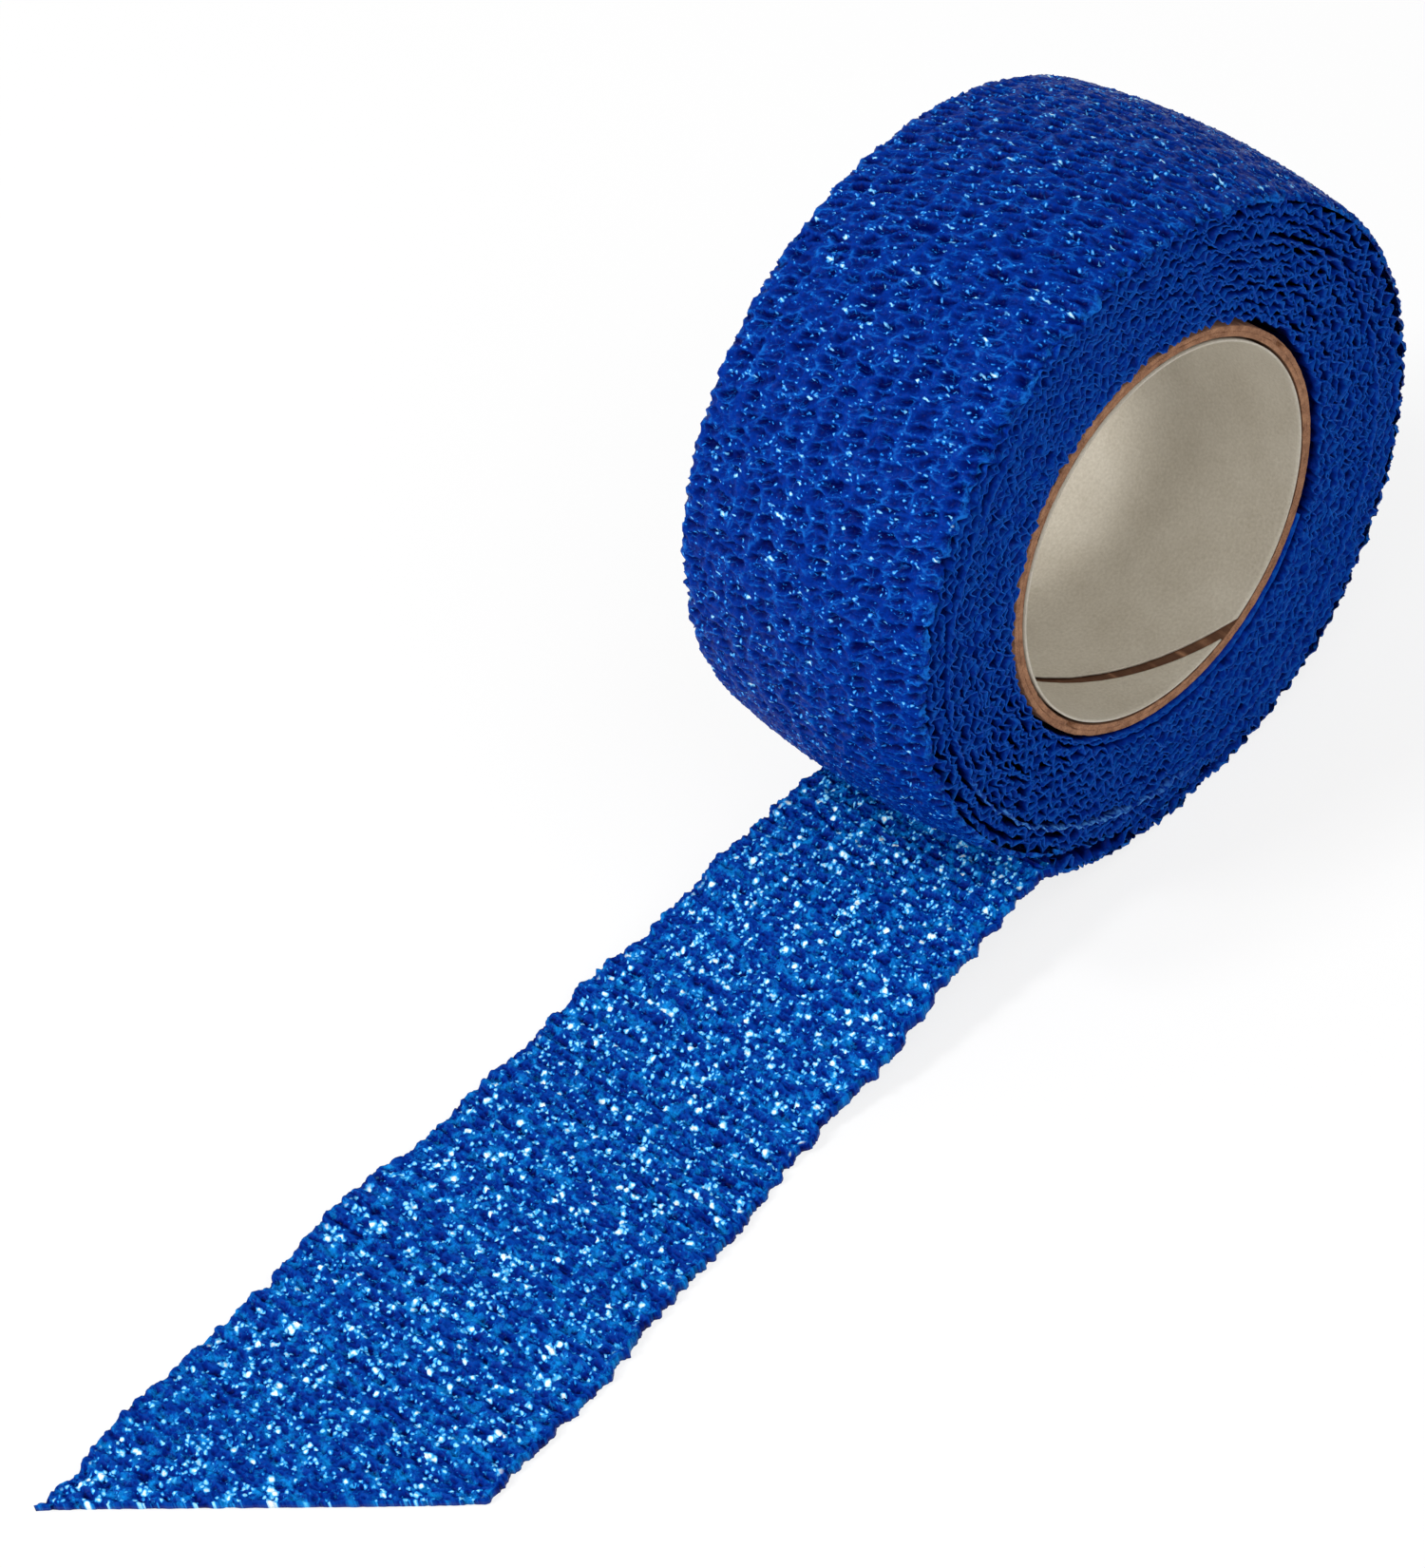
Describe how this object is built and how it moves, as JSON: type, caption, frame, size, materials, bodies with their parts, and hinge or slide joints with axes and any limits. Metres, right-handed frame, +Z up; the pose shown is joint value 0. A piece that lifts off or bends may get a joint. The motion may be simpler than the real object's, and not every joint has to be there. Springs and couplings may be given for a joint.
{
  "type": "self-adherent hand wrap roll",
  "caption": "Roll of crinkled self-adherent elastic strip on a card core, with a loose tail that pulls out as the roll turns and lifts at its end.",
  "frame": {"origin": "centre of the core's bore, halfway along it", "axes": "+Y along the bore, +Z up, -X the way the strip leaves the roll"},
  "size_m": [0.1383, 0.0303, 0.0572],
  "materials": {
    "liner_paper": "smooth pale coated paper",
    "kraft_card": "raw brown card",
    "blue_web": "crinkled nonwoven with a tacky self-adherent coating",
    "elastic_yarn": "satin"
  },
  "bodies": {
    "strip": {"lead_inner_web": "blue_web", "lead_yarns": "elastic_yarn", "lead_outer_web": "blue_web"},
    "roll": {"core_liner": "liner_paper", "core_middle_ply": "kraft_card", "core_outer_ply": "kraft_card", "turns_inner_web": "blue_web", "turns_yarns": "elastic_yarn", "turns_outer_web": "blue_web"},
    "tail": {"tail_inner_web": "blue_web", "tail_yarns": "elastic_yarn", "tail_outer_web": "blue_web"},
    "end": {"end_inner_web": "blue_web", "end_yarns": "elastic_yarn", "end_outer_web": "blue_web"}
  },
  "joints": [
    {"name": "roll_spin", "type": "hinge", "parent": "strip", "child": "roll", "pos_m": [0, 0, 0], "axis": [0, 1, 0], "range_deg": [0, 90]},
    {"name": "tail_pull", "type": "slide", "parent": "strip", "child": "tail", "axis": [-0.998, -0.0628, 0], "range_m": [0, 0.0445]},
    {"name": "end_lift", "type": "hinge", "parent": "tail", "child": "end", "pos_m": [-0.05992, 0.00039, -0.02798], "axis": [-0.0628, 0.998, 0], "range_deg": [0, 90]}
  ],
  "couplings": [
    {"joint": "tail_pull", "follows": "roll_spin", "m_per_rad": 0.02829}
  ]
}
